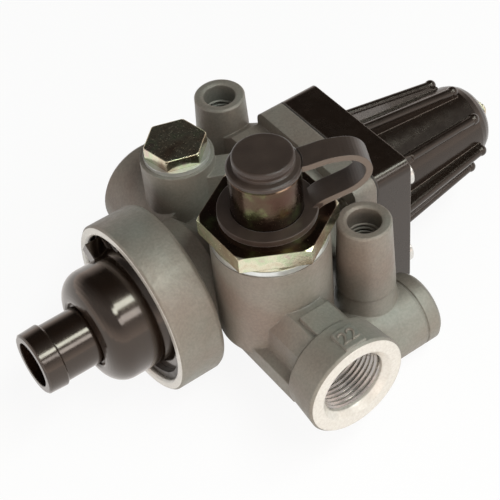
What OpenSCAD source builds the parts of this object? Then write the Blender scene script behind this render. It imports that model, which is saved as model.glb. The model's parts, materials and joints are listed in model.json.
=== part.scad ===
// Compressed-air pressure regulator with a tyre-inflation connection.
// Valve frame: the main axis runs along X, the supply ports lie on Y and meet it at X = 0.
// The finished part is moved so that its origin lies between the two mounting bores, on their faces.

/* [Mounting] */
// Distance between the two mounting bores
bolt_span = 72; // [66:0.5:80]
// Distance from the supply ports' axis to the mounting bores, along X
bolt_x = 26.6; // [25:0.2:28]
// Minor radius of the mounting thread, M12 x 1.75
bolt_r = 5.1; // [4:0.1:5.6]
// Depth of the mounting thread
bolt_depth = 24; // [16:1:26]
// Outer radius of a mounting post
post_r = 8; // [7.4:0.1:9]
// Height of the mounting faces over the main axis
post_top = 26.2; // [24:0.2:32]

/* [Collar] */
// Outer radius of the collar, which is also the height of the main axis over the ground
collar_r = 27.7; // [27.7:0.1:30]
// Bore radius of the collar
collar_bore_r = 24.4; // [23.8:0.1:24.8]
// Distance from the ports' axis to the collar's face
collar_face = 34; // [33:0.5:38]
// Length of the collar
collar_len = 15.4; // [14:0.2:16]
// Radius of the barrel behind the collar
barrel_r = 21; // [20:0.5:22]
// Inset of the retaining ring from the collar's face
ring_inset = 1.6; // [1:0.1:2]
// Thickness of the retaining ring
ring_t = 1.8; // [1.2:0.1:2.2]
// Depth of the retaining ring's groove
ring_depth = 1.2; // [0.8:0.1:1.6]

/* [Ports] */
// Minor radius of the front and rear port threads, M22 x 1.5
port_r = 10.2; // [9.5:0.1:10.6]
// Radius of the chamfer at a port's mouth
port_mouth_r = 12; // [11.6:0.1:12.6]
// Radius of the front and rear port bosses at their faces
port_boss_r = 16.4; // [15.5:0.1:17.5]
// Distance of the front port's face from the main axis
front_reach = 65.2; // [60:0.5:70]
// Distance of the rear port's face from the main axis
rear_reach = 43.1; // [41:0.5:50]
// Depth of a port's thread
port_depth = 14; // [12:0.5:14]
// Radius of the gallery between the ports
gallery_r = 7; // [6:0.1:7.4]
// Radius of the right port's boss
side_boss_r = 11.4; // [10.5:0.1:12]
// Minor radius of the right port's thread, M16 x 1.5
side_r = 7.2; // [6.5:0.1:7.6]
// Distance of the right port's face from the supply ports' axis
side_reach = 42.5; // [40:0.5:46]
// Distance of the right port in front of the main axis
side_front = 41.6; // [40:0.2:44]
// Distance of the right port below the main axis
side_drop = 16.2; // [15:0.2:16.3]

/* [Vertical bosses] */
// Radius of the inflation connector's boss
con_boss_r = 17.3; // [16.8:0.1:18.5]
// Distance of the inflation connector in front of the main axis
con_front = 24.7; // [24:0.1:27]
// Height of the inflation connector's seat over the main axis
con_seat = 28.5; // [27:0.5:30]
// Outer radius of the connector's thread
con_thread_r = 12.9; // [12.5:0.1:13.4]
// Width across the connector's flats
con_af = 34.6; // [34:0.1:36]
// Radius of the connector's neck
con_neck_r = 10.2; // [9.8:0.1:10.6]
// Length of the connector's neck above its hexagon
con_neck_h = 16; // [14:0.5:20]
// Radius of the connector's socket
con_socket_r = 7; // [6.6:0.1:7.4]
// Radius of the plug's boss
plug_boss_r = 11.3; // [10.8:0.1:12]
// Distance of the plug behind the main axis
plug_back = 20.2; // [19.5:0.1:21]
// Height of the plug's seat over the main axis
plug_seat = 28.1; // [26:0.5:30]
// Width across the plug's flats
plug_af = 17; // [16.5:0.1:18]
// Outer radius of the plug's thread
plug_thread_r = 7.9; // [7.5:0.1:8.2]

/* [Exhaust housing] */
// Distance of the nozzle's end from the ports' axis
nozzle_reach = 67.6; // [64:0.5:80]
// Outer radius of the nozzle's tube
nozzle_r = 9.2; // [8.6:0.1:9.6]
// Bore radius of the nozzle
nozzle_bore_r = 7.2; // [6:0.1:7.4]
// Outer radius of the nozzle's lip
nozzle_lip_r = 10; // [9.7:0.1:10.6]
// Length of the nozzle's lip
nozzle_lip_len = 6.4; // [4:0.2:8]
// Outer radius of the dome
dome_r = 18; // [17.6:0.1:18.8]
// Wall of the housing
housing_wall = 2.4; // [2:0.1:2.6]
// Thickness of the housing's flange
housing_flange_t = 3.4; // [3.4:0.1:3.8]

/* [Cover] */
// Width of the cover's flange
cover_w = 49; // [48.5:0.5:50]
// Height of the cover's flange
cover_h = 51.7; // [51:0.1:52.5]
// Distance of the flange's middle below the main axis
cover_drop = 1.8; // [1.6:0.1:2]
// Corner radius of the cover's flange
cover_corner = 3.5; // [3:0.5:4.5]
// Thickness of the cover's flange
cover_flange_t = 12.4; // [10:0.2:14]
// Thickness of the casting's flange
body_flange_t = 8; // [7:0.5:9]
// Distance of the casting's flange face from the ports' axis
body_flange_face = 40.5; // [40.5:0.5:42]
// Thickness of the gasket under the cover
gasket_t = 0.7; // [0.5:0.1:1.2]
// Radius over the ribs at the flange
rib_base_r = 22; // [21:0.1:22.5]
// Radius over the ribs at their far end
rib_end_r = 16.2; // [15.6:0.1:17]
// Number of ribs
rib_count = 8; // [4:1:10]
// Thickness of a rib
rib_t = 2.8; // [2.4:0.1:3]
// Length of a rib from the flange
rib_len = 38.4; // [34:0.2:42]
// Length of the rounded end beyond the ribs
cover_nose = 8.4; // [7:0.2:11]
// Radius of the spring chamber
spring_bore_r = 10.8; // [10.4:0.1:11.1]
// Distance between the cover screws across the valve
screw_span_y = 38.4; // [37.8:0.1:39]
// Distance between the cover screws from top to bottom
screw_span_z = 33.6; // [33:0.1:36]
// Radius of a cover screw's shank
screw_r = 2.5; // [2:0.1:2.8]
// Radius of a cover screw's head
screw_head_r = 4.2; // [3.8:0.1:4.4]
// Height of a cover screw's head
screw_head_h = 3; // [2:0.1:3.6]
// Length of a cover screw's shank
screw_len = 21; // [17:0.5:22]

/* [Control parts] */
// Radius of the governor piston's bore
governor_bore_r = 17; // [16:0.1:18]
// Depth of the governor's bore from the flange face
governor_bore_depth = 16.5; // [16.5:0.5:18]
// Length of the governor piston
governor_len = 9; // [8:0.2:9.4]
// Radius of the unloader piston's bore
unloader_bore_r = 12.5; // [11:0.1:13.5]
// Radius of the unloader's push rod
rod_r = 3; // [2.5:0.1:3.4]
// Radius of the unloader valve's seat
seat_r = 7.5; // [6.5:0.1:8]
// Radius of the unloader valve
disc_r = 11; // [10.4:0.1:12]
// Travel of the unloader valve
disc_travel = 3; // [2:0.1:3.5]
// Running clearance of a moving piece in its bore
run_gap = 0.05; // [0.02:0.01:0.09]
// Radius of the adjusting screw
adjuster_r = 2.6; // [2.4:0.1:3.2]
// Pitch of the adjusting screw
adjuster_pitch = 1; // [0.75:0.25:1.25]
// Width across the lock nut's flats
nut_af = 8; // [7.5:0.5:10]
// Thickness of the lock nut
nut_t = 3.2; // [2.5:0.1:4]
// Thickness of a seal ring
seal_d = 2.4; // [2:0.1:2.6]
// Wire of the governor spring
governor_wire = 2.2; // [1.6:0.1:2.4]
// Wire of the small springs
small_wire = 1; // [0.7:0.1:1.2]

/* [Cap] */
// Radius of the cap's lip
cap_lip_r = 10.5; // [9.8:0.1:11.5]
// Height of the cap above the connector
cap_h = 5.4; // [4.6:0.1:7]
// Width of the strap
strap_w = 8; // [6:0.5:9]
// Thickness of the strap
strap_t = 1.9; // [1.4:0.1:2.2]
// Outer radius of the strap's ring
strap_ring_r = 14.2; // [13.2:0.1:15]
// Direction of the strap, turned from +X towards the front
strap_turn = 26; // [15:1:35]

/* [Hidden] */
$fn = 72;
eps = 0.02;

// Places along the main axis
collar_rear = -collar_face + collar_len;
ring_front = -collar_face + ring_inset;
flange_front = ring_front + ring_t;
housing_seat = flange_front + housing_flange_t;
chamber_r = 15.5;
seat_wall = 5.5;
seat_back = -8;
seat_front = seat_back - seat_wall;
seat_lip = 0.8;
main_bore_r = 9;
guide_front = 8;
guide_len = 4;
unloader_floor = guide_front + guide_len;
governor_floor = body_flange_face - governor_bore_depth;
cover_front = body_flange_face + gasket_t;
cover_back = cover_front + cover_flange_t;
rib_back = cover_back + rib_len;
cover_end = rib_back + cover_nose;
end_wall = 9.6;
spring_bore_end = cover_end - end_wall;

// Places along the connector's axis
con_shift = 1.5;
con_turn = 30;
washer_t = 1.8;
con_shoulder = con_seat + washer_t;
con_collar_h = 1.7;
con_hex_base = con_shoulder + con_collar_h;
con_hex_h = 5.5;
con_hex_top = con_hex_base + con_hex_h;
con_top = con_hex_top + con_neck_h;
con_shank = 18.3;
con_floor = 9;
con_web = 4;
con_socket_floor = con_hex_base + con_web;
con_chamber_r = 8.5;
fit_gap = 0.05;

// Places along the plug's axis
plug_turn = 41.5;
plug_washer_t = 1.5;
plug_hex_base = plug_seat + plug_washer_t;
plug_hex_h = 4.1;
plug_shank = 9.6;
plug_end = plug_hex_base - plug_shank;
check_seat = 9.5;
check_disc_r = 6.5;
check_disc_t = 3;
check_stem_r = 2;
check_travel = 3;
passage_r = 3.5;

// Moving pieces along the main axis
rod_end_r = rod_r - 0.6;
facing_t = 1.2;
disc_t = 3;
valve_face = seat_front - seat_lip;
disc_front = valve_face - facing_t - disc_t;
unloader_rest = unloader_floor + disc_travel + 0.2;
unloader_len = 6;
spring_pocket_r = 12.6;
governor_pocket = 5;
governor_spring_from = governor_floor + governor_len - governor_pocket;
governor_r_mid = spring_bore_r - 0.6 - governor_wire / 2;
seat_plate_t = 3;
seat_travel = 2;
seat_plate_back = spring_bore_end - seat_travel - 0.6;
seat_plate_front = seat_plate_back - seat_plate_t;
adjuster_tip = 4.8;

// Exhaust housing
dome_front = -(collar_face + 15.8);
dome_round = 7;
root_depth = 2.2;
dome_inside = dome_front + root_depth + 1.6;
housing_spring_r = 9;

// Barrel: slim between the exhaust chamber and the unloader piston
body_wall = 3;
chamber_end = seat_front + body_wall;
waist_r = main_bore_r + 5.2;
waist_slope = 4;

// Casting
con_boss_base = -5;
con_boss_foot = 4;
boss_web_at = [2.6, 9.5, 0];
boss_web_turn = 29;
boss_web = [13, 9, 24.5];
gusset_w = 6;
gusset_r = 24;
gusset_len = 10;
rear_root = 12;
port_edge = 1.2;
neck_half = 13.5;
neck_root = 8;
NECK = [[5.5, 13], [10, 7], [neck_half - 3, -1], [neck_half, -2.5], [neck_half, -8.5], [8.5, -13.5]];
ring_len = 12.5;
neck_pad_at = [-4.2, 10.7];
neck_pad = [9.8, 9.4, 14.6];
ring_pad_at = [-2.6, 1];
ring_pad = [6.8, 7];
ring_pad_rise = 0.5;
side_groove = 5.5;
web_x = 22;
web_t = 11;
web_low = [-18, -22];
web_front = [8, 4];
web_rear = [19, 12];
post_foot = 1;
post_draft = 1;
flare_h = side_drop - 8;
flare_out = 2.4;
side_depth = 12;
bolt_sink = 0.4;
SCREWS = [for (sy = [-1, 1], sz = [1, -1]) [sy * screw_span_y / 2, sz * screw_span_z / 2 - cover_drop]];

// Snap ring and housing
ring_width = 3.2;
ring_gap = 44;
ring_gap_at = 46;
ear_r = 2.3;
lug_at = 32;
lug_len = 5.4;
lug_w = 5;
lug_sink = 0.4;
lug_short = 1.2;
flange_r = collar_bore_r - fit_gap;
housing_seal_at = flange_front + housing_flange_t / 2;

// Pistons and cover
unloader_r = unloader_bore_r - run_gap;
governor_r = governor_bore_r - run_gap;
core_base_r = 16.6;
core_end_r = 13;
nose_r = 6.4;
rib_turn = 1.5;
spot_len = 9;

// Plunger and cap
plunger_r = 2.5;
plate_r = 6.5;
plate_t = 2.8;
cap_spigot = 5;
cap_waist_r = 8.2;
cap_head_r = 8.7;
strap_reach = 28.2;

function along_arc(cx, cy, r, a0, a1, n) =
    [for (i = [0:n]) let (a = a0 + (a1 - a0) * i / n) [cx + r * cos(a), cy + r * sin(a)]];

// Turns a shape drawn on Z so that it points along +X
module on_x() { rotate([0, 90, 0]) children(); }

// Turns a shape drawn on Z so that it points along +Y
module on_y() { rotate([-90, 0, 0]) children(); }

// Moves a piece from the valve frame to the part's frame
module place() { translate([-bolt_x, 0, -post_top]) children(); }

// Round bar along X from one station to another
module bar_x(from, to, r) { translate([from, 0, 0]) on_x() cylinder(h = to - from, r = r); }

// Cone along X from one station to another
module cone_x(from, to, r1, r2) { translate([from, 0, 0]) on_x() cylinder(h = to - from, r1 = r1, r2 = r2); }

// Solid turned from a profile of [station, radius] points on the X axis
module turned_x(profile) { on_x() rotate_extrude() polygon([for (p = profile) [p[1], p[0]]]); }

// Solid turned from a profile of [height, radius] points on the Z axis
module turned_z(profile) { rotate_extrude() polygon([for (p = profile) [p[1], p[0]]]); }

// Flat ring on the Z axis
module ring_z(from, to, outer, inner) {
    translate([0, 0, from]) difference() {
        cylinder(h = to - from, r = outer);
        translate([0, 0, -1]) cylinder(h = to - from + 2, r = inner);
    }
}

// Plate with the outline of the cover's flange, across X
module flange_plate(from, to) {
    translate([from, 0, -cover_drop]) on_x() linear_extrude(to - from) rounded_outline(cover_h, cover_w, cover_corner);
}
module rounded_outline(a, b, corner) {
    square([a - 2 * corner, b], center = true);
    square([a, b - 2 * corner], center = true);
    for (sx = [-1, 1], sy = [-1, 1])
        translate([sx * (a / 2 - corner), sy * (b / 2 - corner)]) circle(corner);
}

// Hexagon on the Z axis with its upper corners turned off
module hex_z(from, to, af, chamfer) {
    corner = af / sqrt(3);
    intersection() {
        translate([0, 0, from]) cylinder(h = to - from, r = corner, $fn = 6);
        union() {
            translate([0, 0, from - 1]) cylinder(h = to - from + 1 - chamfer, r = corner + 1);
            translate([0, 0, to - chamfer]) cylinder(h = chamfer, r1 = corner, r2 = corner - 2 * chamfer);
        }
    }
}

// Seal ring around the Z axis, in a groove whose floor is at the given radius
module seal_z(at, floor_r, section) {
    translate([0, 0, at]) rotate_extrude() translate([floor_r + section / 2, 0]) circle(section / 2, $fn = 32);
}

// Compression spring of round wire on the Z axis, one closed tube swept along the helix
module coil_z(from, to, r, wire, turns) {
    sides = 8;
    per_turn = 18;
    n = round(turns * per_turn);
    rise = to - from - wire;
    rings = [for (i = [0:n]) let (
            u = i / n,
            a = 360 * turns * u,
            z = from + wire / 2 + rise * coil_height(u, turns))
        [for (k = [0:sides - 1]) let (b = 360 * k / sides)
            [(r + wire / 2 * cos(b)) * cos(a), (r + wire / 2 * cos(b)) * sin(a), z + wire / 2 * sin(b)]]];
    points = [for (ring = rings) for (p = ring) p];
    walls = [for (i = [0:n - 1]) for (k = [0:sides - 1])
        [i * sides + k, i * sides + (k + 1) % sides, (i + 1) * sides + (k + 1) % sides, (i + 1) * sides + k]];
    start = [[for (k = [0:sides - 1]) sides - 1 - k]];
    end = [[for (k = [0:sides - 1]) n * sides + k]];
    polyhedron(points = points, faces = concat(start, [for (w = walls) [w[3], w[2], w[1], w[0]]], end), convexity = 8);
}

// Share of a spring's rise at a share of its length: nearly flat for the first and last half turn
function coil_height(u, turns) = let (f = 0.5 / turns)
    u < f ? 0.1 * f * u / f : u > 1 - f ? 1 - 0.1 * f * (1 - u) / f
    : 0.1 * f + (1 - 0.2 * f) * (u - f) / (1 - 2 * f);

module valve_body() {
    color("silver") place() difference() {
        body_casting();
        body_bores();
    }
}

module body_casting() {
    collar_shape();
    bar_x(collar_rear - 1, chamber_end, chamber_r + body_wall);
    cone_x(chamber_end - eps, chamber_end + waist_slope, chamber_r + body_wall, waist_r);
    bar_x(chamber_end, unloader_floor + waist_slope, waist_r);
    cone_x(unloader_floor - 2, unloader_floor - 2 + waist_slope + eps, waist_r, barrel_r);
    bar_x(unloader_floor - 2 + waist_slope, body_flange_face - 1, barrel_r);
    flange_plate(body_flange_face - body_flange_t, body_flange_face);
    flange_gussets();
    front_port_shape();
    rear_port_shape();
    side_port_shape();
    translate([con_shift, -con_front, 0]) {
        translate([0, 0, con_boss_base]) cylinder(h = con_seat - con_boss_base, r = con_boss_r);
        translate([0, 0, con_boss_base - con_boss_foot])
            cylinder(h = con_boss_foot, r1 = con_boss_r - con_boss_foot, r2 = con_boss_r);
    }
    translate([0, plug_back, 0]) cylinder(h = plug_seat, r = plug_boss_r);
    translate(boss_web_at) rotate([0, 0, -boss_web_turn]) cube(boss_web);
    for (side = [-1, 1]) post_shape(side);
}

module collar_shape() {
    turned_x([
        [-collar_face, 0],
        [-collar_face, collar_r - 0.7],
        [-collar_face + 0.7, collar_r],
        [collar_rear - 1.6, collar_r],
        [collar_rear - 0.5, collar_r - 0.5],
        [collar_rear, collar_r - 1.6],
        [collar_rear + 2, chamber_r + body_wall],
        [collar_rear + 2, 0]]);
}

// Gussets between the flange and the barrel
module flange_gussets() {
    for (a = [45, 135, 225, 315])
        rotate([a, 0, 0]) translate([0, -gusset_w / 2, 0]) rotate([90, 0, 90])
            translate([0, 0, body_flange_face - body_flange_t - gusset_len]) cube([gusset_w, gusset_r, gusset_len + 2]);
}

// Front port: a ribbed neck that ends in a round boss
module front_port_shape() {
    translate([0, -front_reach + ring_len, 0]) on_y() rotate([0, 0, 180])
        linear_extrude(front_reach - ring_len - neck_root) polygon(concat(
            NECK, [for (i = [len(NECK) - 1 : -1 : 0]) [-NECK[i][0], NECK[i][1]]]));
    translate([0, -front_reach, 0]) on_y() turned_z([
        [0, 0], [0, port_boss_r - 0.7], [0.8, port_boss_r], [ring_len - 1, port_boss_r - 1],
        [ring_len, port_boss_r - 2], [ring_len, 0]]);
    translate([neck_pad_at[0], -front_reach + neck_pad_at[1], 0]) cube(neck_pad);
    translate([ring_pad_at[0], -front_reach + ring_pad_at[1], 0])
        cube([ring_pad[0], ring_pad[1], port_boss_r + ring_pad_rise]);
}

module rear_port_shape() {
    on_y() turned_z([
        [rear_root, 0], [rear_root, port_boss_r], [rear_reach - port_edge, port_boss_r],
        [rear_reach, port_boss_r - 1], [rear_reach, 0]]);
}

// Right port: a plain boss with a groove near its face
module side_port_shape() {
    translate([0, -side_front, -side_drop]) difference() {
        union() {
            bar_x(4, side_reach - 1.2, side_boss_r);
            cone_x(side_reach - 1.2, side_reach, side_boss_r, side_boss_r - 1);
            translate([4, 0, 0]) sphere(side_boss_r);
        }
        difference() {
            bar_x(side_reach - side_groove - 0.4, side_reach - side_groove + 0.4, side_boss_r + 1);
            bar_x(side_reach - side_groove - 1, side_reach - side_groove + 1, side_boss_r - 0.4);
        }
    }
}

// Mounting post with the web that ties it to the barrel; the front one stands on the right port's boss
module post_shape(side) {
    translate([bolt_x, side * bolt_span / 2, 0]) {
        translate([0, 0, -collar_r]) cylinder(h = collar_r + 1, r = post_r);
        turned_z([
            [post_foot, 0], [post_foot, post_r + post_draft], [post_top - 0.5, post_r],
            [post_top, post_r - 0.5], [post_top, 0]]);
        if (side < 0) translate([0, 0, -flare_h])
            cylinder(h = flare_h + post_foot, r1 = post_r + flare_out, r2 = post_r + 0.3);
    }
    span = bolt_span / 2;
    translate([web_x, 0, 0]) mirror([0, side < 0 ? 1 : 0, 0]) rotate([90, 0, 90])
        linear_extrude(web_t) polygon([
            [0, web_low[0]], [span - 2, web_low[1]], [span - 2, side < 0 ? web_front[1] : web_rear[1]],
            [span - 12, side < 0 ? web_front[0] : web_rear[0]], [0, barrel_r - 1]]);
}

module body_bores() {
    // Collar, retaining ring groove and exhaust chamber
    cone_x(-collar_face - eps, -collar_face + 0.6, collar_bore_r + 0.6, collar_bore_r);
    bar_x(-collar_face - 1, housing_seat, collar_bore_r);
    bar_x(ring_front - 0.05, flange_front, collar_bore_r + ring_depth);
    difference() {
        bar_x(housing_seat - 1, seat_front, chamber_r);
        bar_x(seat_front - seat_lip, seat_front + 1, seat_r + 1.6);
    }
    bar_x(seat_front - 2, seat_back + 1, seat_r);
    bar_x(seat_back, guide_front, main_bore_r);
    bar_x(guide_front - 1, unloader_floor + 1, rod_r + run_gap);
    bar_x(unloader_floor, governor_floor + 1, unloader_bore_r);
    bar_x(governor_floor, body_flange_face + 1, governor_bore_r);
    // Supply ports and the gallery between them
    translate([0, -front_reach + 5, 0]) on_y() cylinder(h = front_reach + rear_reach - 10, r = gallery_r);
    for (end = [[-front_reach, 0], [rear_reach, 180]])
        translate([0, end[0], 0]) rotate([0, 0, end[1]]) on_y() {
            translate([0, 0, -1]) cylinder(h = port_depth + 1, r = port_r);
            translate([0, 0, -eps]) cylinder(h = port_mouth_r - port_r, r1 = port_mouth_r, r2 = port_r);
        }
    // Right port, its drilling and the riser to the front port
    translate([0, -side_front, -side_drop]) {
        bar_x(side_reach - side_depth, side_reach + 1, side_r);
        cone_x(side_reach - 1.2, side_reach + eps, side_r, side_r + 1.2);
        bar_x(0, side_reach - side_depth + 1, passage_r);
        cylinder(h = side_drop, r = passage_r);
    }
    // Connector and plug
    translate([con_shift, -con_front, 0]) {
        translate([0, 0, con_floor]) cylinder(h = con_seat, r = con_thread_r + fit_gap);
        cylinder(h = con_floor + 1, r = passage_r);
    }
    translate([0, plug_back, 0]) {
        translate([0, 0, check_seat]) cylinder(h = plug_seat, r = plug_thread_r + fit_gap);
        cylinder(h = check_seat + 1, r = passage_r + 0.5);
    }
    // Mounting threads
    for (side = [-1, 1]) translate([bolt_x, side * bolt_span / 2, post_top - bolt_depth]) {
        cylinder(h = bolt_depth + 1, r = bolt_r);
        translate([0, 0, bolt_depth - bolt_sink]) cylinder(h = bolt_sink + eps, r1 = bolt_r, r2 = bolt_r + 1);
    }
    // Cover screws
    for (p = SCREWS) translate([0, p[0], p[1]])
        bar_x(body_flange_face - body_flange_t - 10, body_flange_face + 1, screw_r + fit_gap);
}

// Snap ring in the collar, open at the upper left, with an eyed ear at each end
module retaining_ring() {
    outer = collar_bore_r + ring_depth - 0.1;
    color([0.13, 0.12, 0.11]) place() translate([ring_front, 0, 0]) on_x() rotate([0, 0, 90 + ring_gap_at])
        linear_extrude(ring_t) difference() {
            union() {
                difference() {
                    circle(outer);
                    circle(outer - ring_width);
                    polygon([[0, 0], for (a = [-ring_gap / 2, ring_gap / 2]) 40 * [cos(a), sin(a)]]);
                }
                for (s = [-1, 1]) rotate(s * (ring_gap / 2 + 6))
                    translate([outer - ring_width, 0]) circle(ear_r);
            }
            for (s = [-1, 1]) rotate(s * (ring_gap / 2 + 6)) translate([outer - ring_width - 0.3, 0]) circle(1.1);
        }
}

// Moulded exhaust housing: nozzle with a lip, domed cap and a flange that the snap ring holds
module exhaust_housing() {
    color([0.12, 0.11, 0.10]) place() difference() {
        union() {
            turned_x(concat(
                [[-nozzle_reach, nozzle_bore_r],
                 [-nozzle_reach, nozzle_lip_r - 0.9],
                 [-nozzle_reach + 0.5, nozzle_lip_r - 0.3],
                 [-nozzle_reach + nozzle_lip_len - 0.4, nozzle_lip_r],
                 [-nozzle_reach + nozzle_lip_len, nozzle_lip_r - 0.3],
                 [-nozzle_reach + nozzle_lip_len, nozzle_r],
                 [dome_front + root_depth, nozzle_r],
                 [dome_front + root_depth * 0.6, nozzle_r + 0.9],
                 [dome_front + 0.3, dome_r - dome_round - 0.6]],
                along_arc(dome_front + dome_round, dome_r - dome_round, dome_round, 180, 90, 10),
                [[flange_front - 3, dome_r],
                 [flange_front, dome_r + 1.2],
                 [flange_front, flange_r],
                 [housing_seat, flange_r],
                 [housing_seat, dome_r - housing_wall]],
                along_arc(dome_front + dome_round, dome_r - dome_round, dome_round - housing_wall, 90, 150, 6),
                [[dome_inside, dome_r - dome_round], [dome_inside, nozzle_bore_r]]));
            // Lug in the snap ring's gap, which keeps the housing from turning
            rotate([lug_at, 0, 0]) translate([flange_front - lug_len, dome_r - lug_sink, -lug_w / 2])
                cube([lug_len + 1, collar_bore_r - lug_short - dome_r + lug_sink, lug_w]);
        }
        // Groove for the seal ring
        translate([housing_seal_at, 0, 0]) on_x() ring_z(-seal_d / 2 - 0.05, seal_d / 2 + 0.05,
            flange_r + 1, flange_r - seal_d + 0.1);
    }
}

module housing_seal() {
    color([0.08, 0.08, 0.08]) place() translate([housing_seal_at, 0, 0]) on_x()
        seal_z(0, flange_r - seal_d + 0.1, seal_d - 0.1);
}

// Unloader valve: a disc on the push rod's end, with a ground facing
module exhaust_valve() {
    color("goldenrod") place() difference() {
        turned_x([
            [disc_front, 0], [disc_front, disc_r - 0.5], [disc_front + 0.5, disc_r],
            [valve_face - facing_t, disc_r], [valve_face - facing_t, rod_r + 1.6],
            [valve_face - 0.2, rod_r + 1.6], [valve_face - 0.2, 0]]);
        bar_x(disc_front - 1, valve_face + 1, rod_end_r + 0.02);
    }
}

module valve_facing() {
    color([0.1, 0.1, 0.1]) place() translate([valve_face - facing_t, 0, 0]) on_x()
        ring_z(0, facing_t, disc_r - 0.3, rod_r + 1.6);
}

module exhaust_valve_spring() {
    color("lightsteelblue") place() translate([dome_inside, 0, 0]) on_x()
        coil_z(0, disc_front - dome_inside, housing_spring_r, small_wire, 6);
}

// Unloader piston with its push rod; the rod's end is riveted over the valve
module unloader_piston() {
    color("lightgray") place() difference() {
        turned_x([
            [disc_front - 1.4, 0], [disc_front - 1.4, rod_end_r + 0.6], [disc_front - 1, rod_end_r + 1.2],
            [disc_front, rod_end_r + 1.2], [disc_front, rod_end_r],
            [valve_face - 0.2, rod_end_r], [valve_face - 0.2, rod_r], [unloader_rest, rod_r],
            [unloader_rest, unloader_r - 0.5], [unloader_rest + 0.5, unloader_r],
            [unloader_rest + unloader_len - 0.5, unloader_r], [unloader_rest + unloader_len, unloader_r - 0.5],
            [unloader_rest + unloader_len, 5], [unloader_rest + unloader_len - 2.5, 4],
            [unloader_rest + unloader_len - 2.5, 0]]);
        translate([unloader_rest + unloader_len / 2, 0, 0]) on_x()
            ring_z(-seal_d / 2 - 0.05, seal_d / 2 + 0.05, unloader_r + 1, unloader_r - seal_d + 0.1);
    }
}

module unloader_piston_seal() {
    color([0.08, 0.08, 0.08]) place() translate([unloader_rest + unloader_len / 2, 0, 0]) on_x()
        seal_z(0, unloader_r - seal_d + 0.1, seal_d - 0.1);
}

// Governor piston, cupped for its spring
module governor_piston() {
    back = governor_floor + governor_len;
    color("lightgray") place() difference() {
        turned_x([
            [governor_floor, 0], [governor_floor, governor_r - 0.6], [governor_floor + 0.6, governor_r],
            [back - 0.6, governor_r], [back, governor_r - 0.6],
            [back, spring_pocket_r], [governor_spring_from, spring_pocket_r], [governor_spring_from, 0]]);
        translate([governor_floor + seal_d / 2 + 0.8, 0, 0]) on_x()
            ring_z(-seal_d / 2 - 0.05, seal_d / 2 + 0.05, governor_r + 1, governor_r - seal_d + 0.1);
    }
}

module governor_piston_seal() {
    color([0.08, 0.08, 0.08]) place() translate([governor_floor + seal_d / 2 + 0.8, 0, 0]) on_x()
        seal_z(0, governor_r - seal_d + 0.1, seal_d - 0.1);
}

module governor_spring() {
    color("steelblue") place() translate([governor_spring_from, 0, 0]) on_x()
        coil_z(0, seat_plate_front - governor_spring_from, governor_r_mid, governor_wire, 9);
}

// Spring seat: a plate with a spigot for the spring and a cup for the screw's point
module spring_seat() {
    spigot_r = governor_r_mid - governor_wire / 2 - 0.3;
    color("silver") place() turned_x([
        [seat_plate_front - 3, 0], [seat_plate_front - 3, spigot_r - 1.4], [seat_plate_front - 2, spigot_r - 0.4],
        [seat_plate_front, spigot_r - 0.4], [seat_plate_front, spring_bore_r - run_gap],
        [seat_plate_back, spring_bore_r - run_gap], [seat_plate_back, adjuster_r],
        [seat_plate_back - 1.2, 0]]);
}

module cover_gasket() {
    color([0.1, 0.1, 0.1]) place() difference() {
        flange_plate(body_flange_face, cover_front);
        bar_x(body_flange_face - 1, cover_front + 1, governor_bore_r);
        for (p = SCREWS) translate([0, p[0], p[1]])
            bar_x(body_flange_face - 1, cover_front + 1, screw_r + 0.2);
    }
}

// Cover with the ribbed spring housing, cast in one piece
module spring_cover() {
    color([0.14, 0.13, 0.12]) place() difference() {
        union() {
            flange_plate(cover_front, cover_back);
            turned_x(concat(
                [[cover_back - 1, 0], [cover_back - 1, core_base_r + 1], [cover_back, core_base_r + 1],
                 [cover_back + 1.5, core_base_r], [rib_back, core_end_r]],
                [for (a = [15 : 15 : 90]) [rib_back + cover_nose * sin(a), nose_r + (core_end_r - nose_r) * cos(a)]],
                [[cover_end, 0]]));
            for (i = [0 : rib_count - 1]) rotate([i * 360 / rib_count + rib_turn, 0, 0]) rib();
        }
        bar_x(cover_front - 1, cover_front + 4, spring_pocket_r + 0.6);
        bar_x(cover_front, spring_bore_end, spring_bore_r);
        bar_x(cover_front, cover_end + 1, adjuster_r + run_gap);
        for (p = SCREWS) translate([0, p[0], p[1]]) {
            bar_x(cover_front - 1, cover_back + 1, screw_r + fit_gap);
            bar_x(cover_back, cover_back + spot_len, screw_head_r + 0.5);
        }
    }
}

// Rib with a round bead as its crest, which falls towards the far end and ends in a small ball
module rib() {
    slope = atan((rib_base_r - rib_end_r) / rib_len);
    root = core_end_r - 1.5;
    rotate([90, 0, 0]) linear_extrude(rib_t, center = true) polygon([
        [cover_back - 1, root], [cover_back - 1, rib_base_r - rib_t / 2], [cover_back, rib_base_r - rib_t / 2],
        [rib_back - 1, rib_end_r - rib_t / 2], [rib_back + 0.6, rib_end_r - rib_t], [rib_back + 0.6, root]]);
    translate([cover_back - 1, 0, rib_base_r - rib_t / 2]) rotate([0, 90 + slope, 0])
        cylinder(h = (rib_len + 0.4) / cos(slope), r = rib_t / 2 + 0.12, $fn = 24);
    translate([rib_back - 0.8, 0, rib_end_r - rib_t / 2]) sphere(rib_t / 2 + 0.5, $fn = 24);
}

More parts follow.
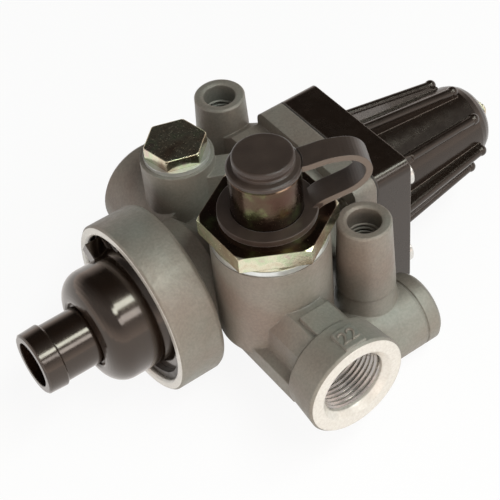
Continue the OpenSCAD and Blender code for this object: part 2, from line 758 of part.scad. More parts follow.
// Cheese-head screw with a hexagon socket, its shank along -X
module cover_screw(i) {
    color("gainsboro") place() translate([cover_back, SCREWS[i][0], SCREWS[i][1]]) difference() {
        union() {
            bar_x(-screw_len, 0, screw_r);
            turned_x([[0, 0], [0, screw_head_r], [screw_head_h - 0.6, screw_head_r],
                [screw_head_h, screw_head_r - 0.6], [screw_head_h, 0]]);
        }
        translate([screw_head_h - 1.8, 0, 0]) on_x() cylinder(h = 3, r = screw_r * 0.9, $fn = 6);
    }
}
module cover_screw_1() { cover_screw(0); }
module cover_screw_2() { cover_screw(1); }
module cover_screw_3() { cover_screw(2); }
module cover_screw_4() { cover_screw(3); }

// Adjusting screw with a pointed end and a slot
module adjusting_screw() {
    tip = cover_end + adjuster_tip;
    color("khaki") place() difference() {
        turned_x([
            [seat_plate_back - 1.2, 0], [seat_plate_back, adjuster_r - 0.05], [tip - 0.6, adjuster_r - 0.05],
            [tip, adjuster_r - 0.65], [tip, 0]]);
        translate([tip, 0, 0]) cube([2.4, 1, 3 * adjuster_r], center = true);
    }
}

module lock_nut() {
    color("khaki") place() translate([cover_end, 0, 0]) on_x() difference() {
        intersection() {
            hex_z(0, nut_t, nut_af, 0.7);
            translate([0, 0, 0]) cylinder(h = 20, r1 = nut_af / 2 + 0.2, r2 = nut_af / 2 + 20);
        }
        translate([0, 0, -1]) cylinder(h = nut_t + 2, r = adjuster_r);
    }
}

module hex_plug() {
    color([0.75, 0.65, 0.35]) place() translate([0, plug_back, 0]) difference() {
        union() {
            rotate([0, 0, plug_turn]) hex_z(plug_hex_base, plug_hex_base + plug_hex_h, plug_af, 0.9);
            translate([0, 0, plug_end]) cylinder(h = plug_shank + 0.5, r = plug_thread_r);
        }
        translate([0, 0, plug_end - 1]) cylinder(h = 8.5, r = check_stem_r + run_gap);
    }
}

module plug_washer() {
    color([0.8, 0.78, 0.7]) place() translate([0, plug_back, 0])
        ring_z(plug_seat, plug_hex_base, plug_af / 2 + 1.6, plug_thread_r + 0.1);
}

module check_valve() {
    color("goldenrod") place() translate([0, plug_back, 0]) turned_z([
        [check_seat, 0], [check_seat, check_disc_r - 0.8], [check_seat + 0.8, check_disc_r],
        [check_seat + check_disc_t, check_disc_r], [check_seat + check_disc_t, check_stem_r],
        [plug_end + 4, check_stem_r], [plug_end + 4, 0]]);
}

module check_valve_spring() {
    color("lightsteelblue") place() translate([0, plug_back, 0])
        coil_z(check_seat + check_disc_t, plug_end, check_stem_r + 2.2, small_wire, 4);
}

// Inflation connector: threaded shank, shoulder, hexagon and smooth neck, bored through
module inflation_connector() {
    color([0.76, 0.68, 0.42]) place() translate([con_shift, -con_front, 0]) difference() {
        union() {
            translate([0, 0, con_shoulder - con_shank]) cylinder(h = con_shank + 0.5, r = con_thread_r);
            translate([0, 0, con_shoulder]) cylinder(h = con_collar_h + 0.5, r = con_boss_r - 0.5);
            rotate([0, 0, con_turn]) hex_z(con_hex_base, con_hex_top, con_af, 0.5);
            translate([0, 0, con_hex_top - 1]) cylinder(h = con_neck_h + 0.4, r = con_neck_r);
            translate([0, 0, con_top - 0.6]) cylinder(h = 0.6, r1 = con_neck_r, r2 = con_neck_r - 0.6);
        }
        translate([0, 0, con_socket_floor]) cylinder(h = 40, r = con_socket_r);
        translate([0, 0, con_hex_base - 1]) cylinder(h = con_web + 2, r = plunger_r + run_gap);
        translate([0, 0, con_shoulder - con_shank - 1]) cylinder(h = con_shank + con_collar_h + 1, r = con_chamber_r);
    }
}

module connector_washer() {
    color([0.85, 0.85, 0.83]) place() translate([con_shift, -con_front, 0])
        ring_z(con_seat, con_shoulder, con_boss_r - 0.3, con_thread_r + 0.1);
}

// Inflation plunger: a stem that a hose fitting pushes down, with the valve plate under the web
module inflation_plunger() {
    color("goldenrod") place() translate([con_shift, -con_front, 0]) turned_z([
        [con_hex_base - plate_t - 7, 0], [con_hex_base - plate_t - 7, 2.2], [con_hex_base - plate_t, 2.2],
        [con_hex_base - plate_t, plate_r], [con_hex_base, plate_r], [con_hex_base, plunger_r],
        [con_socket_floor + 9, plunger_r], [con_socket_floor + 10, plunger_r - 1], [con_socket_floor + 10, 0]]);
}

module plunger_spring() {
    color("lightsteelblue") place() translate([con_shift, -con_front, 0])
        coil_z(con_floor, con_hex_base - plate_t, passage_r + 1.6, small_wire, 7);
}

// Dust cap: a stopper with a lip, a waist and a domed head
module dust_cap() {
    color([0.22, 0.17, 0.14]) place() translate([con_shift, -con_front, con_top]) turned_z(concat(
        [[-cap_spigot, con_socket_r - 1.6], [-cap_spigot, con_socket_r - 0.7], [-cap_spigot + 1, con_socket_r - 0.1],
         [0, con_socket_r - 0.1], [0, cap_lip_r - 0.4], [0.4, cap_lip_r], [1.3, cap_lip_r], [1.7, cap_lip_r - 0.5],
         [2, cap_waist_r + 0.4], [2.4, cap_waist_r], [cap_h - 1.7, cap_waist_r], [cap_h - 1.4, cap_head_r]],
        along_cap(),
        [[cap_h, 0], [-cap_spigot + 2.4, 0], [-cap_spigot + 2.4, con_socket_r - 2.4]]));
}
function along_cap() = [for (a = [0 : 30 : 90]) [cap_h - 0.8 + 0.8 * sin(a), cap_head_r - 0.8 + 0.8 * cos(a)]];

// Strap: a band that leaves the cap, folds over and comes back to a ring round the neck
module cap_strap() {
    ring_mid = con_hex_top + strap_t / 2;
    low = con_hex_top + 6.9;
    high = con_top + 1;
    line = smooth([
        [cap_lip_r - 2, high - 0.2], [cap_lip_r + 1, high], [17.5, high + 1.2], [23.2, high + 1],
        [strap_reach - 1.7, high - 0.7], [strap_reach, (high + low) / 2 + 1.2], [strap_reach - 0.9, low + 2.9],
        [24.4, low], [19.8, low - 2], [16.4, low - 3.2], [14.2, ring_mid + 1.6], [12.4, ring_mid]], 4);
    color([0.2, 0.16, 0.14]) place() translate([con_shift, -con_front, 0]) difference() {
        union() {
            translate([0, 0, con_hex_top]) cylinder(h = strap_t, r = strap_ring_r);
            rotate([0, 0, -strap_turn]) rotate([90, 0, 0]) translate([0, 0, -strap_w / 2])
                linear_extrude(strap_w) polygon(band_outline(line, strap_t / 2));
        }
        translate([0, 0, con_hex_top - 1]) cylinder(h = con_neck_h + 1, r = con_neck_r + 0.1);
        translate([0, 0, con_top - 1]) cylinder(h = cap_h + 4, r = cap_lip_r + 0.02);
    }
}

// Smooth curve through the given points, with n steps between two of them
function smooth(points, n) = concat(
    [for (i = [0 : len(points) - 2], k = [0 : n - 1]) curve_point(
        points[max(i - 1, 0)], points[i], points[i + 1], points[min(i + 2, len(points) - 1)], k / n)],
    [points[len(points) - 1]]);
function curve_point(a, b, c, d, u) =
    0.5 * (2 * b + (c - a) * u + (2 * a - 5 * b + 4 * c - d) * u * u + (3 * b - a - 3 * c + d) * u * u * u);

// Outline of a band: its centre line pushed out to both sides
function band_outline(line, half) = concat(
    [for (i = [0 : len(line) - 1]) line[i] + half * band_normal(line, i)],
    [for (i = [len(line) - 1 : -1 : 0]) line[i] - half * band_normal(line, i)]);
function band_normal(line, i) = let (
        a = line[max(i - 1, 0)],
        b = line[min(i + 1, len(line) - 1)],
        d = (b - a) / norm(b - a)) [-d[1], d[0]];

valve_body();
retaining_ring();
exhaust_housing();
housing_seal();
exhaust_valve();
valve_facing();
exhaust_valve_spring();
unloader_piston();
unloader_piston_seal();
governor_piston();
governor_piston_seal();
governor_spring();
spring_seat();
cover_gasket();
spring_cover();
cover_screw_1();
cover_screw_2();
cover_screw_3();
cover_screw_4();
adjusting_screw();
lock_nut();
hex_plug();
plug_washer();
check_valve();
check_valve_spring();
inflation_connector();
connector_washer();
inflation_plunger();
plunger_spring();
dust_cap();
cap_strap();
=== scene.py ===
"""Looks of the compressed-air pressure regulator: materials, cast detail, threads, light and camera."""
import json
import math

import bpy
from mathutils import Matrix, Vector


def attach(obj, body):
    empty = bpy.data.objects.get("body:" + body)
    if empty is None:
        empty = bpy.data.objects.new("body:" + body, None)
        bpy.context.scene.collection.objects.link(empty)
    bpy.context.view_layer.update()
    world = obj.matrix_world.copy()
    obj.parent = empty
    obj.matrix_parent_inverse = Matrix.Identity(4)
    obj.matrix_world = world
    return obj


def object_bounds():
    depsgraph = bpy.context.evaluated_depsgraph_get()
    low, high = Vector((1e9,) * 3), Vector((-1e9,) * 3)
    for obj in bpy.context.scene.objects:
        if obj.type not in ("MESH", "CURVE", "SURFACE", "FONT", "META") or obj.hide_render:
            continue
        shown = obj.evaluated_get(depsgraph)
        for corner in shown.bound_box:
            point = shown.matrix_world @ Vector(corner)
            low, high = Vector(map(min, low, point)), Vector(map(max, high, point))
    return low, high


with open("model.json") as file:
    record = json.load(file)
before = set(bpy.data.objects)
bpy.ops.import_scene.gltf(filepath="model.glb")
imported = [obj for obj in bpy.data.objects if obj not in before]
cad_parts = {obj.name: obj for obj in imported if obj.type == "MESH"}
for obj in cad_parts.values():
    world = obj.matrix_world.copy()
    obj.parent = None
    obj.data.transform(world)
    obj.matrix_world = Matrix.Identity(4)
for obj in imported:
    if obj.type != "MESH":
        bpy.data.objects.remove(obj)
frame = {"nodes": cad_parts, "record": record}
cad_low, cad_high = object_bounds()

# The valve frame, in which the main axis and the ports' axis meet, in the row frame
VALVE = Vector((-0.0266, 0.0, -0.0262))


def valve(x, y, z):
    """A point given in the valve frame in millimetres, as a vector in the row frame."""
    return VALVE + Vector((x, y, z)) / 1000


# Height of the inflation connector's neck over the row frame's origin, and the direction of the strap faces that get a
# painted reflection
NECK_FOOT = valve(0, 0, 37.5).z
NECK_AXIS = tuple(valve(1.5, -24.7, 0))[:2]
STRAP_SHEEN_SIDE = (-0.438, -0.899, 0)

# Materials


BLACK_IOR = 1.65
WARM = (1.0, 0.88, 0.78)


def new_material(name):
    material = bpy.data.materials.new(name)
    material.use_nodes = True
    nodes = material.node_tree.nodes
    return material, nodes, material.node_tree.links, nodes["Principled BSDF"]


def object_position(nodes):
    return nodes.new("ShaderNodeTexCoord").outputs["Object"]


def noise(nodes, links, scale, detail, coordinates):
    node = nodes.new("ShaderNodeTexNoise")
    node.inputs["Scale"].default_value = scale
    node.inputs["Detail"].default_value = detail
    links.new(coordinates, node.inputs["Vector"])
    return node.outputs["Fac"]


def ramp(nodes, links, factor, stops):
    """Colour ramp; a stop is a position with a colour or a grey value."""
    node = nodes.new("ShaderNodeValToRGB")
    elements = node.color_ramp.elements
    while len(elements) < len(stops):
        elements.new(0.5)
    for element, (position, colour) in zip(elements, stops):
        element.position = position
        element.color = (*colour, 1) if isinstance(colour, tuple) else (colour, colour, colour, 1)
    links.new(factor, node.inputs["Fac"])
    return node.outputs["Color"]


def math_node(nodes, links, operation, *values, clamp=False):
    node = nodes.new("ShaderNodeMath")
    node.operation = operation
    node.use_clamp = clamp
    for socket, value in zip(node.inputs, values):
        if isinstance(value, (int, float)):
            socket.default_value = value
        else:
            links.new(value, socket)
    return node.outputs["Value"]


def mix_colour(nodes, links, factor, a, b, blend="MIX"):
    node = nodes.new("ShaderNodeMix")
    node.data_type = "RGBA"
    node.blend_type = blend
    for socket, value in ((node.inputs["Factor"], factor), (node.inputs[6], a), (node.inputs[7], b)):
        if isinstance(value, (int, float)):
            socket.default_value = value
        elif isinstance(value, tuple):
            socket.default_value = (*value, 1)
        else:
            links.new(value, socket)
    return node.outputs[2]


def bump(nodes, links, height, strength, distance, before=None):
    node = nodes.new("ShaderNodeBump")
    node.inputs["Strength"].default_value = strength
    node.inputs["Distance"].default_value = distance
    links.new(height, node.inputs["Height"])
    if before is not None:
        links.new(before, node.inputs["Normal"])
    return node.outputs["Normal"]


def soft_edges(nodes, links, radius):
    """Rounded normals for edges and corners, and a mask that is 1 on them."""
    bevel = nodes.new("ShaderNodeBevel")
    bevel.samples = 4
    bevel.inputs["Radius"].default_value = radius
    geometry = nodes.new("ShaderNodeNewGeometry")
    dot = nodes.new("ShaderNodeVectorMath")
    dot.operation = "DOT_PRODUCT"
    links.new(bevel.outputs["Normal"], dot.inputs[0])
    links.new(geometry.outputs["Normal"], dot.inputs[1])
    mask = ramp(nodes, links, dot.outputs["Value"], [(0.80, 1.0), (0.985, 0.0)])
    return bevel.outputs["Normal"], mask


def near(nodes, links, value, target, reach):
    """1 where the value lies within reach of the target."""
    node = nodes.new("ShaderNodeMath")
    node.operation = "COMPARE"
    links.new(value, node.inputs[0])
    node.inputs[1].default_value = target
    node.inputs[2].default_value = reach
    return node.outputs["Value"]


def within_tube(nodes, links, u, v, along, centre, radius, start, end):
    """1 inside a tube: u and v are the coordinates across it, along is the one on its axis."""
    du = math_node(nodes, links, "SUBTRACT", u, centre[0])
    dv = math_node(nodes, links, "SUBTRACT", v, centre[1])
    square = math_node(nodes, links, "ADD", math_node(nodes, links, "MULTIPLY", du, du), math_node(nodes, links, "MULTIPLY", dv, dv))
    inside = math_node(nodes, links, "LESS_THAN", square, radius * radius)
    span = near(nodes, links, along, (start + end) / 2, abs(end - start) / 2)
    return math_node(nodes, links, "MULTIPLY", inside, span)


def machined_mask(nodes, links, place):
    """1 on the casting's cut faces, bores and port mouths."""
    split = nodes.new("ShaderNodeSeparateXYZ")
    links.new(place, split.inputs[0])
    x, y, z = split.outputs
    origin = valve(0, 0, 0)
    hair = 0.00012
    parts = [
        within_tube(nodes, links, y, z, x, (origin.y, origin.z), 0.0273, valve(-34.1, 0, 0).x, valve(-33.9, 0, 0).x),
        within_tube(nodes, links, y, z, x, (origin.y, origin.z), 0.0251, valve(-34.2, 0, 0).x, valve(-24, 0, 0).x),
        within_tube(nodes, links, x, z, y, (origin.x, origin.z), 0.0158, -0.0652 - hair, -0.0652 + hair),
        within_tube(nodes, links, x, z, y, (origin.x, origin.z), 0.0122, -0.0653, -0.0540),
        within_tube(nodes, links, x, z, y, (origin.x, origin.z), 0.0104, -0.0541, -0.050),
        within_tube(nodes, links, x, z, y, (origin.x, origin.z), 0.0154, 0.0431 - hair, 0.0431 + hair),
        within_tube(nodes, links, x, z, y, (origin.x, origin.z), 0.0122, 0.029, 0.0432),
        within_tube(nodes, links, y, z, x, (-0.0416, valve(0, 0, -16.2).z), 0.0106, valve(42.5, 0, 0).x - hair, valve(42.5, 0, 0).x + hair),
        within_tube(nodes, links, y, z, x, (-0.0416, valve(0, 0, -16.2).z), 0.0085, valve(30, 0, 0).x, valve(42.6, 0, 0).x)]
    total = parts[0]
    for part in parts[1:]:
        total = math_node(nodes, links, "MAXIMUM", total, part)
    return total


def cast_aluminium():
    """Die-cast skin: warm grey with slightly green light patches, a fine grain, worn edges and cut faces."""
    material, nodes, links, shader = new_material("cast_aluminium")
    place = object_position(nodes)
    cloud = noise(nodes, links, 45, 3, place)
    grain = noise(nodes, links, 1300, 4, place)
    pits = noise(nodes, links, 420, 5, place)
    skin = ramp(nodes, links, cloud, [(0.30, (0.215, 0.172, 0.142)), (0.52, (0.232, 0.212, 0.180)), (0.72, (0.245, 0.246, 0.214))])
    speck = ramp(nodes, links, grain, [(0.35, 0.88), (0.65, 1.03)])
    skin = mix_colour(nodes, links, 1.0, skin, speck, "MULTIPLY")
    edge_normal, edge = soft_edges(nodes, links, 0.0007)
    scuffs = ramp(nodes, links, pits, [(0.40, 0.0), (0.62, 0.55)])
    worn = math_node(nodes, links, "MULTIPLY", edge, scuffs)
    skin = mix_colour(nodes, links, worn, skin, (0.42, 0.40, 0.36))
    cut_face_and_sheen_mask = machined_mask(nodes, links, place)
    bright = ramp(nodes, links, grain, [(0.3, (0.60, 0.57, 0.52)), (0.7, (0.70, 0.68, 0.63))])
    links.new(mix_colour(nodes, links, cut_face_and_sheen_mask, skin, bright), shader.inputs["Base Color"])
    links.new(ramp(nodes, links, cut_face_and_sheen_mask, [(0.0, 0.35), (1.0, 0.45)]), shader.inputs["Metallic"])
    rough = ramp(nodes, links, pits, [(0.3, 0.42), (0.7, 0.56)])
    links.new(mix_colour(nodes, links, cut_face_and_sheen_mask, rough, (0.30, 0.30, 0.30)), shader.inputs["Roughness"])
    rough_cast = math_node(nodes, links, "MULTIPLY", grain, math_node(nodes, links, "SUBTRACT", 1.0, cut_face_and_sheen_mask))
    links.new(bump(nodes, links, rough_cast, 0.22, 0.0004, edge_normal), shader.inputs["Normal"])
    return material


def machined_aluminium(name, tint, roughness):
    """Freshly cut aluminium with fine turning marks."""
    material, nodes, links, shader = new_material(name)
    place = object_position(nodes)
    wear = noise(nodes, links, 500, 3, place)
    low = tuple(0.86 * c for c in tint)
    links.new(ramp(nodes, links, wear, [(0.3, low), (0.7, tint)]), shader.inputs["Base Color"])
    shader.inputs["Metallic"].default_value = 0.85
    shader.inputs["Roughness"].default_value = roughness
    edge_normal, _ = soft_edges(nodes, links, 0.0002)
    links.new(bump(nodes, links, wear, 0.08, 0.0002, edge_normal), shader.inputs["Normal"])
    return material


def black_gloss(name, tint, roughness, coat, grain_scale, grain_strength, edge=0.0004, rub_and_highlight=0.25, ior=BLACK_IOR):
    """Black moulding or paint under a clear gloss, with edges painted lighter: partly rubbed wear, partly a painted
    highlight.
    """
    material, nodes, links, shader = new_material(name)
    place = object_position(nodes)
    cloud = noise(nodes, links, 120, 3, place)
    low = tuple(0.75 * c for c in tint)
    base = ramp(nodes, links, cloud, [(0.3, low), (0.7, tint)])
    edge_normal, mask = soft_edges(nodes, links, edge)
    # Edges are painted lighter: partly rubbed wear, partly a painted highlight along edges and rib crests.
    wear_and_highlight = math_node(nodes, links, "MULTIPLY", mask, rub_and_highlight)
    links.new(mix_colour(nodes, links, wear_and_highlight, base, (0.20, 0.17, 0.15)), shader.inputs["Base Color"])
    smear = noise(nodes, links, 300, 3, place)
    links.new(ramp(nodes, links, smear, [(0.3, 0.8 * roughness), (0.7, 1.25 * roughness)]), shader.inputs["Roughness"])
    shader.inputs["IOR"].default_value = ior
    shader.inputs["Specular Tint"].default_value = (*WARM, 1)
    shader.inputs["Coat Tint"].default_value = (*WARM, 1)
    shader.inputs["Coat Weight"].default_value = coat
    shader.inputs["Coat Roughness"].default_value = 0.05
    grain = noise(nodes, links, grain_scale, 3, place)
    normal = bump(nodes, links, grain, grain_strength, 0.0003, edge_normal)
    links.new(normal, shader.inputs["Normal"])
    links.new(edge_normal, shader.inputs["Coat Normal"])
    return material


def zinc_yellow():
    """Yellow chromate on zinc plate: cream yellow with green, pink and brown clouds."""
    material, nodes, links, shader = new_material("zinc_yellow")
    place = object_position(nodes)
    cloud = noise(nodes, links, 150, 4, place)
    colour = ramp(nodes, links, cloud, [
        (0.32, (0.52, 0.38, 0.27)), (0.43, (0.72, 0.62, 0.45)), (0.52, (0.80, 0.75, 0.56)),
        (0.60, (0.66, 0.72, 0.48)), (0.70, (0.70, 0.56, 0.47))])
    split = nodes.new("ShaderNodeSeparateXYZ")
    links.new(place, split.inputs[0])
    on_neck = ramp(nodes, links, math_node(nodes, links, "MULTIPLY", split.outputs["Z"], 1 / NECK_FOOT), [(0.98, 0.0), (1.03, 1.0)])
    # Above the hexagon's top the neck is given a darker brown colour with yellow-green patches.
    neck_brown = ramp(nodes, links, cloud, [(0.35, (0.11, 0.062, 0.045)), (0.55, (0.12, 0.085, 0.055)), (0.70, (0.22, 0.25, 0.11))])
    links.new(mix_colour(nodes, links, on_neck, colour, neck_brown), shader.inputs["Base Color"])
    shader.inputs["Metallic"].default_value = 1.0
    scratches = noise(nodes, links, 1500, 3, place)
    links.new(ramp(nodes, links, scratches, [(0.3, 0.14), (0.7, 0.28)]), shader.inputs["Roughness"])
    edge_normal, _ = soft_edges(nodes, links, 0.00035)
    links.new(bump(nodes, links, scratches, 0.10, 0.0002, edge_normal), shader.inputs["Normal"])
    return material


def plain_metal(name, tint, roughness):
    material, nodes, links, shader = new_material(name)
    place = object_position(nodes)
    cloud = noise(nodes, links, 500, 3, place)
    low = tuple(0.85 * c for c in tint)
    links.new(ramp(nodes, links, cloud, [(0.3, low), (0.7, tint)]), shader.inputs["Base Color"])
    links.new(ramp(nodes, links, cloud, [(0.3, 0.8 * roughness), (0.7, 1.3 * roughness)]), shader.inputs["Roughness"])
    shader.inputs["Metallic"].default_value = 1.0
    return material


def cap_rubber(name, side=None):
    """Brown-black moulded rubber with a soft sheen and edges painted lighter, partly wear and partly a painted
    highlight; side is the direction of the faces that get a lighter tan painted reflection.
    """
    material, nodes, links, shader = new_material(name)
    place = object_position(nodes)
    cloud = noise(nodes, links, 220, 3, place)
    base = ramp(nodes, links, cloud, [(0.3, (0.024, 0.015, 0.011)), (0.7, (0.036, 0.024, 0.018))])
    edge_normal, mask = soft_edges(nodes, links, 0.0004)
    # Edges are painted lighter: partly rubbed wear, partly a painted highlight along them.
    wear_and_highlight = math_node(nodes, links, "MULTIPLY", mask, 0.45)
    colour = mix_colour(nodes, links, wear_and_highlight, base, (0.16, 0.12, 0.10))
    if side:
        # Faces turned towards side are painted a lighter tan: a painted reflection, kept off the ring around the neck.
        facing = nodes.new("ShaderNodeVectorMath")
        facing.operation = "DOT_PRODUCT"
        links.new(nodes.new("ShaderNodeNewGeometry").outputs["Normal"], facing.inputs[0])
        facing.inputs[1].default_value = side
        cut_face_and_sheen_mask = ramp(nodes, links, facing.outputs["Value"], [(0.90, 0.0), (0.97, 0.85)])
        split = nodes.new("ShaderNodeSeparateXYZ")
        links.new(place, split.inputs[0])
        x, y, z = split.outputs
        ring = within_tube(nodes, links, x, y, z, NECK_AXIS, 0.0155, 0.010, 0.0145)
        cut_face_and_sheen_mask = math_node(nodes, links, "MULTIPLY", cut_face_and_sheen_mask, math_node(nodes, links, "SUBTRACT", 1.0, ring))
        colour = mix_colour(nodes, links, cut_face_and_sheen_mask, colour, (0.115, 0.088, 0.068))
    links.new(colour, shader.inputs["Base Color"])
    shader.inputs["Roughness"].default_value = 0.36
    shader.inputs["Sheen Weight"].default_value = 0.2
    shader.inputs["Sheen Roughness"].default_value = 0.4
    grain = noise(nodes, links, 2200, 3, place)
    links.new(bump(nodes, links, grain, 0.15, 0.0002, edge_normal), shader.inputs["Normal"])
    return material


MATERIALS = {
    "cast_aluminium": cast_aluminium(),
    "turned_aluminium": machined_aluminium("turned_aluminium", (0.80, 0.78, 0.74), 0.30),
    "soft_aluminium": machined_aluminium("soft_aluminium", (0.80, 0.82, 0.80), 0.30),
    "black_plastic": black_gloss("black_plastic", (0.010, 0.006, 0.004), 0.16, 0.4, 1200, 0.02, 0.0006),
    # The cover's strong edge lightening is a painted highlight along its flange edges and rib crests.
    "black_cover": black_gloss("black_cover", (0.010, 0.006, 0.004), 0.24, 0.25, 900, 0.05, 0.0005, 0.7, 1.55),
    "spring_steel": black_gloss("spring_steel", (0.020, 0.017, 0.014), 0.40, 0.1, 1500, 0.1),
    "spring_wire": plain_metal("spring_wire", (0.62, 0.63, 0.66), 0.25),
    "bright_steel": plain_metal("bright_steel", (0.82, 0.79, 0.74), 0.24),
    "zinc_yellow": zinc_yellow(),
    "valve_brass": plain_metal("valve_brass", (0.72, 0.56, 0.28), 0.28),
    "seal_rubber": black_gloss("seal_rubber", (0.018, 0.018, 0.018), 0.55, 0.0, 1500, 0.1),
    "cap_rubber": cap_rubber("cap_rubber"),
}
# The strap's rubber has a painted reflection on the faces turned one way, toward the front.
STRAP_RUBBER = cap_rubber("strap_rubber", STRAP_SHEEN_SIDE)

for subpart in frame["record"]["subparts"]:
    node = frame["nodes"][subpart["node"]]
    node.data.materials.clear()
    strap = subpart["node"] == "cap_strap"
    node.data.materials.append(STRAP_RUBBER if strap else MATERIALS[subpart["material_slot"]])

# Threads and the cast number


def add_piece(name, points, faces, material, body, smooth=False):
    mesh = bpy.data.meshes.new(name)
    mesh.from_pydata([tuple(p) for p in points], [], faces)
    if smooth:
        mesh.polygons.foreach_set("use_smooth", [True] * len(mesh.polygons))
    mesh.materials.append(material)
    mesh.update()
    piece = bpy.data.objects.new(name, mesh)
    bpy.context.collection.objects.link(piece)
    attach(piece, body)
    return piece


def thread(name, mouth, inward, wall_r, depth, pitch, height, body, material=None):
    """Helical thread crest on a bore's wall, from its mouth inward."""
    axis = Vector(inward).normalized()
    side = axis.orthogonal().normalized()
    other = axis.cross(side)
    steps = 48
    turns = depth / pitch - 0.8
    count = int(turns * steps)
    profile = [(-0.42 * pitch, 0.00005), (-0.06 * pitch, -height), (0.06 * pitch, -height), (0.42 * pitch, 0.00005)]
    points, faces = [], []
    for i in range(count + 1):
        turn = i / steps
        angle = 2 * math.pi * turn
        fade = min(1.0, 3 * turn, 3 * (turns - turn))
        spoke = math.cos(angle) * side + math.sin(angle) * other
        for along, out in profile:
            radius = wall_r + (out if out > 0 else out * fade)
            points.append(Vector(mouth) + axis * (0.4 * pitch + 0.4 * pitch + turn * pitch + along) + spoke * radius)
        if i:
            a, b = 4 * (i - 1), 4 * i
            faces.extend((a + k, b + k, b + (k + 1) % 4, a + (k + 1) % 4) for k in range(4))
    faces.append((3, 2, 1, 0))
    faces.append(tuple(4 * count + k for k in range(4)))
    return add_piece(name, points, faces, material or THREAD, body)


# The thread metal is darker than the cut faces around it: painted shade in the bores' thread grooves.
THREAD = plain_metal("thread_metal", (0.50, 0.46, 0.43), 0.22)
ROOT = "valve"
PORT_R, SIDE_R, POST_R = 0.0102, 0.0072, 0.0051
thread("front_thread", valve(0, -63.4, 0), (0, 1, 0), PORT_R, 0.0125, 0.0015, 0.00055, ROOT)
thread("rear_thread", valve(0, 41.3, 0), (0, -1, 0), PORT_R, 0.0125, 0.0015, 0.00055, ROOT)
thread("right_thread", valve(41.3, -41.6, -16.2), (-1, 0, 0), SIDE_R, 0.0108, 0.0015, 0.0005, ROOT)
thread("left_post_thread", (0, 0.036, -0.005), (0, 0, -1), POST_R, 0.0174, 0.0015, 0.0004, ROOT, MATERIALS["cast_aluminium"])
thread("right_post_thread", (0, -0.036, -0.005), (0, 0, -1), POST_R, 0.0174, 0.0015, 0.0004, ROOT, MATERIALS["cast_aluminium"])


def cast_number(name, text, place, size, material, body):
    curve = bpy.data.curves.new(name, "FONT")
    curve.body = text
    curve.size = size
    curve.extrude = 0.0003
    curve.bevel_depth = 0.00008
    curve.align_x = "CENTER"
    curve.align_y = "CENTER"
    curve.materials.append(material)
    piece = bpy.data.objects.new(name, curve)
    bpy.context.collection.objects.link(piece)
    piece.location = place
    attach(piece, body)


def hexagon(name, centre, across, low, high, trim, turn, material, body):
    """Bolt head: a hexagonal prism whose upper edge is trimmed a little, most at the corners."""
    corner = across / math.sqrt(3)
    points, faces = [], []
    count = 12
    levels = [(low, 0.0), (high - 0.5 * trim, 0.0), (high - 0.12 * trim, 0.45), (high, 1.0)]
    for level, cut_face_and_sheen_mask in levels:
        for i in range(count):
            angle = math.radians(turn) + 2 * math.pi * (i // 2) / 6 + math.radians(2.2) * (1 if i % 2 else -1)
            reach = corner * math.cos(math.radians(30)) / math.cos(math.radians(27.8)) - cut_face_and_sheen_mask * trim
            points.append(centre + Vector((reach * math.cos(angle), reach * math.sin(angle), level)))
    for ring in range(len(levels) - 1):
        for i in range(count):
            a, b = ring * count, (ring + 1) * count
            j = (i + 1) % count
            faces.append((a + i, a + j, b + j, b + i))
    faces.append(tuple(range((len(levels) - 1) * count, len(levels) * count)))
    faces.append(tuple(reversed(range(count))))
    return add_piece(name, points, faces, material, body)


hexagon("plug_head", valve(0, 20.2, 0), 0.01706, 0.02962, 0.03373, 0.0004, 41.5, MATERIALS["zinc_yellow"], ROOT)
cast_number("port_number", "22", valve(0.8, -60.7, 16.95), 0.0058, MATERIALS["cast_aluminium"], ROOT)

# Stage: white floor, a studio that is bright at the horizon and darker above and behind, and soft lamps

FLOOR_Z = cad_low.z - 0.00005
FLOOR_WHITE = 0.9


def make_floor():
    """White floor: camera, mirror and clear rays see it mostly plain, and a part of the shadow stays."""
    mesh = bpy.data.meshes.new("floor")
    size = 3.0
    mesh.from_pydata([(-size, -size, 0), (size, -size, 0), (size, size, 0), (-size, size, 0)], [], [(0, 1, 2, 3)])
    floor = bpy.data.objects.new("floor", mesh)
    bpy.context.collection.objects.link(floor)
    floor.location = (0, 0, FLOOR_Z)
    material, nodes, links, shader = new_material("floor")
    shader.inputs["Base Color"].default_value = (0.93, 0.92, 0.91, 1)
    shader.inputs["Roughness"].default_value = 0.9
    shader.inputs["Specular IOR Level"].default_value = 0.1
    path = nodes.new("ShaderNodeLightPath")
    white = nodes.new("ShaderNodeEmission")
    white.inputs["Color"].default_value = (1, 1, 1, 1)
    white.inputs["Strength"].default_value = 1
    seen = math_node(nodes, links, "MAXIMUM", path.outputs["Is Glossy Ray"], path.outputs["Is Transmission Ray"])
    seen = math_node(nodes, links, "MAXIMUM", seen, path.outputs["Is Camera Ray"])
    mix = nodes.new("ShaderNodeMixShader")
    links.new(math_node(nodes, links, "MULTIPLY", seen, FLOOR_WHITE), mix.inputs["Fac"])
    links.new(shader.outputs["BSDF"], mix.inputs[1])
    links.new(white.outputs["Emission"], mix.inputs[2])
    links.new(mix.outputs["Shader"], nodes["Material Output"].inputs["Surface"])
    mesh.materials.append(material)


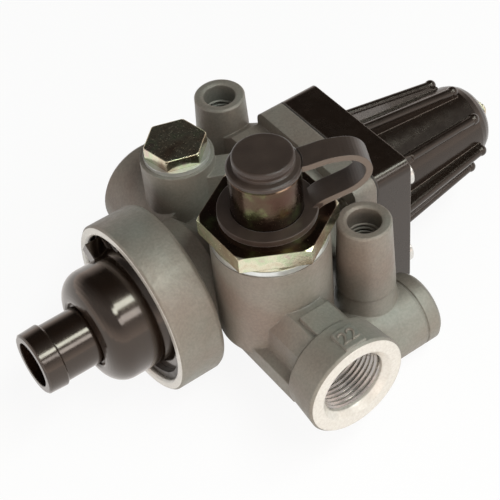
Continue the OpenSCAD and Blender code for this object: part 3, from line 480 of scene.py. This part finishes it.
def make_world():
    """Soft surroundings: bright and a little warm at the horizon, dark in the direction that the flat tops mirror."""
    world = bpy.data.worlds.new("studio")
    bpy.context.scene.world = world
    world.use_nodes = True
    nodes, links = world.node_tree.nodes, world.node_tree.links
    direction = nodes.new("ShaderNodeTexCoord").outputs["Generated"]
    towards = nodes.new("ShaderNodeVectorMath")
    towards.operation = "DOT_PRODUCT"
    links.new(direction, towards.inputs[0])
    towards.inputs[1].default_value = DARK_SIDE
    cap = ramp(nodes, links, towards.outputs["Value"], [(0.30, 0.50), (0.70, 0.20), (0.93, 0.03)])
    split = nodes.new("ShaderNodeSeparateXYZ")
    links.new(direction, split.inputs[0])
    low = ramp(nodes, links, split.outputs["Z"], [(0.02, (1.10, 0.95, 0.86)), (0.50, (0.0, 0.0, 0.0))])
    links.new(mix_colour(nodes, links, 1.0, cap, low, "ADD"), nodes["Background"].inputs["Color"])
    nodes["Background"].inputs["Strength"].default_value = 0.9


DARK_SIDE = (0.36, 0.59, 0.72)


def make_lamp(name, place, target, size, power, colour=(1, 1, 1)):
    data = bpy.data.lights.new(name, "AREA")
    data.shape = "RECTANGLE"
    data.size, data.size_y = size
    data.energy = power
    data.color = colour
    lamp = bpy.data.objects.new(name, data)
    bpy.context.collection.objects.link(lamp)
    lamp.location = place
    lamp.rotation_euler = (Vector(target) - Vector(place)).to_track_quat("-Z", "Y").to_euler()
    return lamp


def make_camera():
    """A long lens above the front left, turned a little about its own axis, as in the photograph."""
    azimuth, elevation, roll = math.radians(31.66), math.radians(46.12), math.radians(-5.95)
    focal_px, distance = 1476.1, 0.4504
    aim_px = Vector((223.4, 255.9))
    ahead = Vector((math.sin(azimuth) * math.cos(elevation), math.cos(azimuth) * math.cos(elevation), -math.sin(elevation)))
    level = Vector((math.cos(azimuth), -math.sin(azimuth), 0))
    upright = level.cross(ahead)
    right = math.cos(roll) * level + math.sin(roll) * upright
    up = -math.sin(roll) * level + math.cos(roll) * upright
    across = (aim_px.x - 250) / focal_px * distance
    down = (aim_px.y - 250) / focal_px * distance
    place = VALVE - across * right + down * up - distance * ahead
    data = bpy.data.cameras.new("camera")
    data.sensor_width = 36
    data.lens = focal_px / 500 * 36
    data.clip_start, data.clip_end = 0.01, 20
    camera = bpy.data.objects.new("camera", data)
    bpy.context.collection.objects.link(camera)
    camera.matrix_world = Matrix((
        (right.x, up.x, -ahead.x, place.x),
        (right.y, up.y, -ahead.y, place.y),
        (right.z, up.z, -ahead.z, place.z),
        (0, 0, 0, 1)))
    bpy.context.scene.camera = camera


make_floor()
make_world()
make_lamp("window", (0.20, -0.32, 0.75), (0, 0, 0), (0.7, 0.16), 3.6, (0.90, 1.0, 0.95))
make_lamp("front", (0.24, -0.66, 0.57), (0, 0, 0), (0.5, 0.2), 1.5)
make_lamp("low_front", (-0.40, -0.75, 0.12), (0, 0, -0.02), (0.9, 0.25), 5, (1.0, 0.86, 0.76)).visible_glossy = False
make_camera()
bpy.context.scene.view_settings.view_transform = "Standard"
